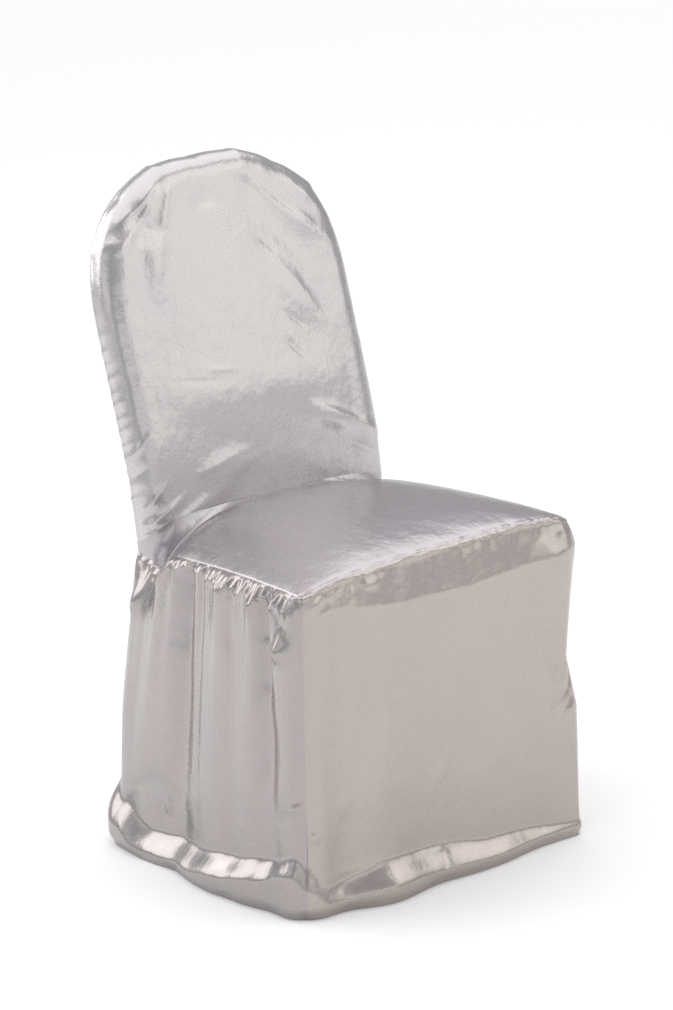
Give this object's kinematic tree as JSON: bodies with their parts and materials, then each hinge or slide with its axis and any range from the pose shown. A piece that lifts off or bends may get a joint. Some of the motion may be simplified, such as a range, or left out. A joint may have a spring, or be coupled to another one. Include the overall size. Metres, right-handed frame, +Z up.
{
  "type": "chair cover",
  "caption": "Fitted satin slipcover for a banquet chair: a padded seat panel, a round-topped back sleeve and a floor-length skirt that hides the chair's legs.",
  "frame": {"origin": "on the floor, under the middle of the cover's bounding box", "axes": "+Z up, the seat's front edge and the front skirt face -Y, +X to the right of somebody who looks at the front"},
  "size_m": [0.5728, 0.5627, 0.9507],
  "materials": {
    "inside_back_satin": "silver-white satin, soft sheen",
    "outside_back_satin": "silver-white satin, soft sheen",
    "seat_satin": "silver-white satin, soft sheen",
    "front_skirt_satin": "silver-white satin, soft sheen",
    "left_skirt_satin": "silver-white satin, soft sheen",
    "right_skirt_satin": "silver-white satin, soft sheen"
  },
  "bodies": {
    "root": {"inside_back": "inside_back_satin", "outside_back": "outside_back_satin", "seat": "seat_satin", "front_skirt": "front_skirt_satin", "left_skirt": "left_skirt_satin", "right_skirt": "right_skirt_satin"}
  },
  "joints": []
}
